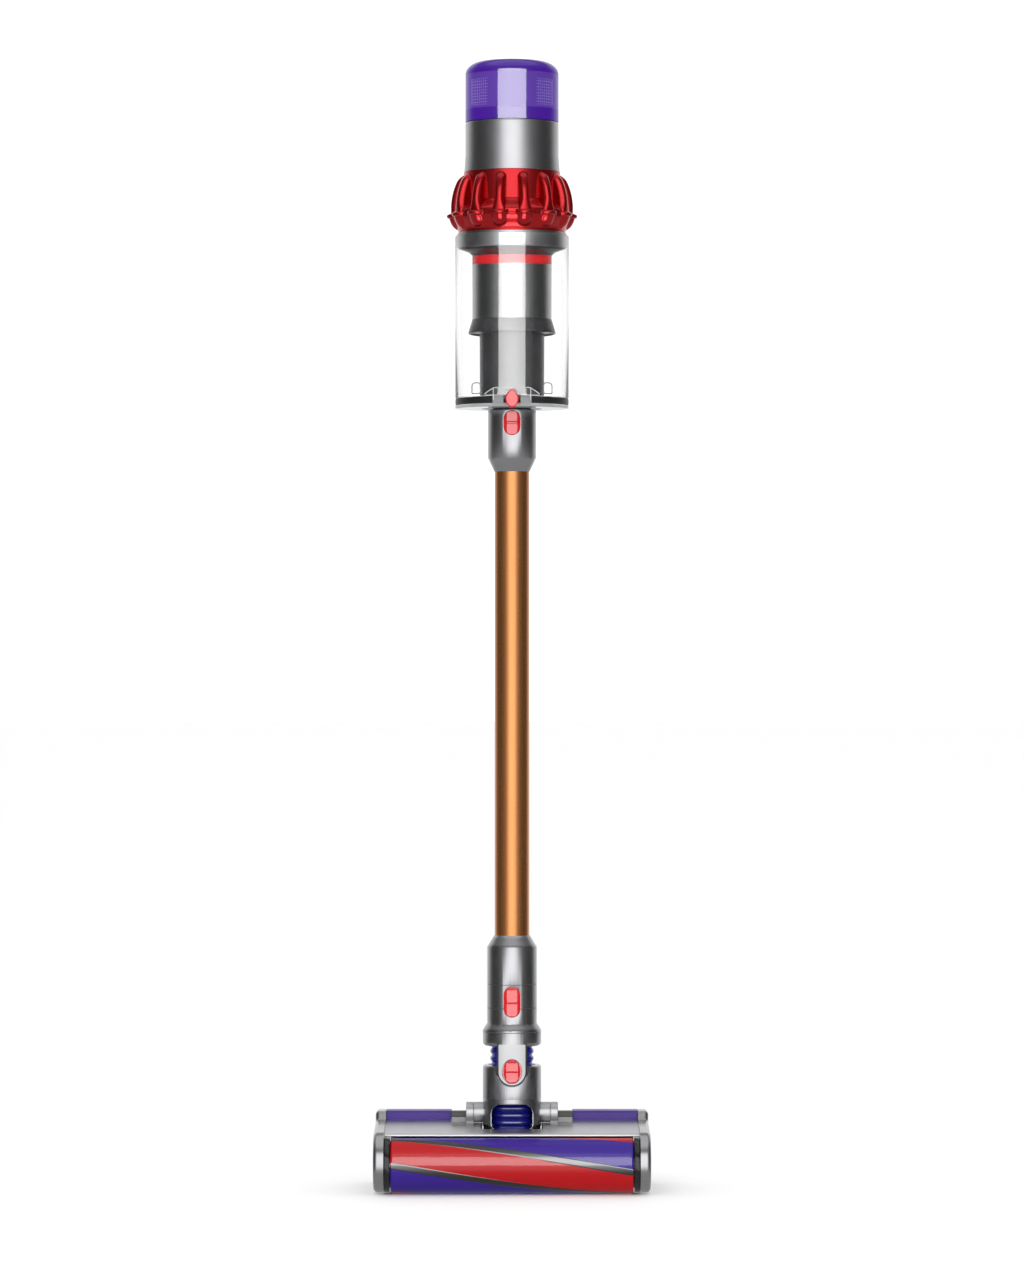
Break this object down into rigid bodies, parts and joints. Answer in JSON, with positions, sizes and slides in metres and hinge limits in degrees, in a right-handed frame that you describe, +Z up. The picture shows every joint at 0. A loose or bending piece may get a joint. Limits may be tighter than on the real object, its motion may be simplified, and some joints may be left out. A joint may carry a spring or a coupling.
{
  "type": "cordless stick vacuum cleaner",
  "caption": "Cordless stick vacuum standing on its soft-roller head, with jointed neck, tube wand, clear cyclone bin, motor, filter and pistol grip.",
  "frame": {"origin": "on the floor, under the middle of the object's box, with the object standing upright", "axes": "+Z up along the wand, -Y the front with the roller, +X to the right seen from the front"},
  "size_m": [0.29, 0.2524, 1.1919],
  "materials": {
    "nickel": "metallic grey, satin moulded",
    "silver": "polished metallic silver, moulded",
    "end_cap": "metallic grey, semi-gloss",
    "black_gloss": "gloss black",
    "purple": "deep purple, gloss",
    "dark_plastic": "fine matt texture",
    "steel": "turned",
    "pile": "woven nylon pile, red and purple helical bands",
    "filament": "stiff black filaments",
    "wheel": "soft black tyre",
    "hose": "royal blue corrugated, semi-gloss",
    "red_button": "bright red, satin",
    "copper": "copper anodised, satin",
    "clear": "clear polycarbonate",
    "shroud": "fine perforated mesh",
    "cyclone_red": "metallic red, high gloss",
    "core_grey": "dark metallic grey",
    "seal": "black",
    "winding": "enamelled copper wire",
    "board": "solder mask",
    "cell": "shrink-wrapped",
    "filter_clear": "translucent violet",
    "filter_dark": "translucent dark purple, gloss",
    "media": "pleated filter paper"
  },
  "bodies": {
    "head": {"head_housing": "nickel", "top_plate": "silver", "soleplate": "dark_plastic", "end_cap_left": "end_cap", "end_cap_right": "end_cap", "end_rings": "black_gloss", "rear_strips": "purple", "hinge_blocks": "silver", "trunnion_pins": "steel", "roller_motor": "steel", "wheel_axles": "steel"},
    "coin_lock": {"coin_lock": "dark_plastic"},
    "roller": {"roller_core": "dark_plastic", "roller_pile": "pile", "filament_strips": "filament", "roller_bearings": "steel"},
    "wheel_left": {"wheel_left": "wheel"},
    "wheel_right": {"wheel_right": "wheel"},
    "yoke": {"yoke": "nickel", "hose_lower": "hose"},
    "neck": {"neck_collar": "nickel", "lean_pins": "steel", "hose_upper": "hose"},
    "neck_button": {"neck_button": "red_button"},
    "wand": {"wand_tube": "copper", "lower_cuff": "nickel", "upper_cuff": "nickel", "wand_conduit": "dark_plastic", "button_springs": "steel"},
    "lower_button": {"lower_button": "red_button"},
    "upper_button": {"upper_button": "red_button"},
    "machine": {"inlet_tube": "dark_plastic", "inner_tube": "core_grey", "shroud_skirt": "core_grey", "shroud_mesh": "shroud", "shroud_ring": "cyclone_red", "bin_collar": "nickel", "cyclone_core": "cyclone_red", "cyclone_pack": "cyclone_red", "motor_housing": "nickel", "motor_stator": "winding", "control_board": "board", "grip": "nickel", "spine": "dark_plastic", "battery_case": "dark_plastic", "battery_cells": "cell", "charge_port": "black_gloss", "battery_screws": "steel"},
    "rotor": {"motor_rotor": "steel"},
    "trigger": {"trigger": "red_button"},
    "power_slider": {"power_slider": "red_button"},
    "filter": {"filter_ring": "filter_dark", "filter_wall": "filter_clear", "filter_dome": "filter_dark", "filter_pleats": "media"},
    "bin": {"bin_wall": "clear"},
    "bin_lever": {"bin_lever": "red_button"},
    "door": {"bin_door": "clear", "door_seal": "seal"},
    "latch": {"door_latch": "red_button"}
  },
  "joints": [
    {"name": "roller_spin", "type": "hinge", "parent": "head", "child": "roller", "pos_m": [0, -0.09475, 0.029], "axis": [1, 0, 0], "continuous": true},
    {"name": "wheel_left_spin", "type": "hinge", "parent": "head", "child": "wheel_left", "pos_m": [-0.1, 0.01525, 0.009], "axis": [1, 0, 0], "continuous": true},
    {"name": "wheel_right_spin", "type": "hinge", "parent": "head", "child": "wheel_right", "pos_m": [0.1, 0.01525, 0.009], "axis": [1, 0, 0], "continuous": true},
    {"name": "coin_lock_turn", "type": "hinge", "parent": "head", "child": "coin_lock", "pos_m": [-0.145, -0.09475, 0.029], "axis": [1, 0, 0], "range_deg": [0, 90]},
    {"name": "neck_pitch", "type": "hinge", "parent": "head", "child": "yoke", "pos_m": [0, -0.02575, 0.0787], "axis": [-1, 0, 0], "range_deg": [0, 80], "deforming": ["hose_lower"]},
    {"name": "neck_lean", "type": "hinge", "parent": "yoke", "child": "neck", "pos_m": [0, -0.02575, 0.124], "axis": [0, 1, 0], "range_deg": [-25, 25], "deforming": ["hose_upper"]},
    {"name": "neck_button_press", "type": "slide", "parent": "neck", "child": "neck_button", "axis": [0, 1, 0], "range_m": [0, 0.0009], "stiffness_N_per_m": 400, "springref_m": -0.001},
    {"name": "head_release", "type": "slide", "parent": "neck", "child": "wand", "axis": [0, 0, 1], "range_m": [0, 0.08]},
    {"name": "lower_button_press", "type": "slide", "parent": "wand", "child": "lower_button", "axis": [0, 1, 0], "range_m": [0, 0.0016], "stiffness_N_per_m": 400, "springref_m": -0.001},
    {"name": "upper_button_press", "type": "slide", "parent": "wand", "child": "upper_button", "axis": [0, 1, 0], "range_m": [0, 0.0016], "stiffness_N_per_m": 400, "springref_m": -0.001},
    {"name": "machine_release", "type": "slide", "parent": "wand", "child": "machine", "axis": [0, 0, 1], "range_m": [0, 0.24]},
    {"name": "rotor_spin", "type": "hinge", "parent": "machine", "child": "rotor", "pos_m": [0, -0.02575, 1.09435], "axis": [0, 0, 1], "continuous": true},
    {"name": "trigger_pull", "type": "hinge", "parent": "machine", "child": "trigger", "pos_m": [0, 0.04225, 1.08335], "axis": [1, 0, 0], "range_deg": [0, 9], "stiffness_Nm_per_rad": 0.3, "springref_deg": -8.59},
    {"name": "power_slide", "type": "slide", "parent": "machine", "child": "power_slider", "axis": [1, 0, 0], "range_m": [-0.006, 0.006]},
    {"name": "filter_twist", "type": "hinge", "parent": "machine", "child": "filter", "pos_m": [0, -0.02575, 1.1274], "axis": [0, 0, 1], "range_deg": [0, 35]},
    {"name": "bin_slide", "type": "slide", "parent": "machine", "child": "bin", "axis": [0, 0, -1], "range_m": [0, 0.035]},
    {"name": "lever_slide", "type": "slide", "parent": "machine", "child": "bin_lever", "axis": [0, 0, -1], "range_m": [0, 0.035]},
    {"name": "door_open", "type": "hinge", "parent": "bin", "child": "door", "pos_m": [0, 0.03795, 0.83155], "axis": [1, 0, 0], "range_deg": [0, 70]},
    {"name": "latch_press", "type": "slide", "parent": "door", "child": "latch", "axis": [0, 0, -1], "range_m": [0, 0.002], "stiffness_N_per_m": 300, "springref_m": -0.001}
  ],
  "couplings": [
    {"joint": "lever_slide", "follows": "bin_slide", "ratio": 1},
    {"joint": "door_open", "follows": "machine_release", "rad_per_m": 5.0905}
  ]
}
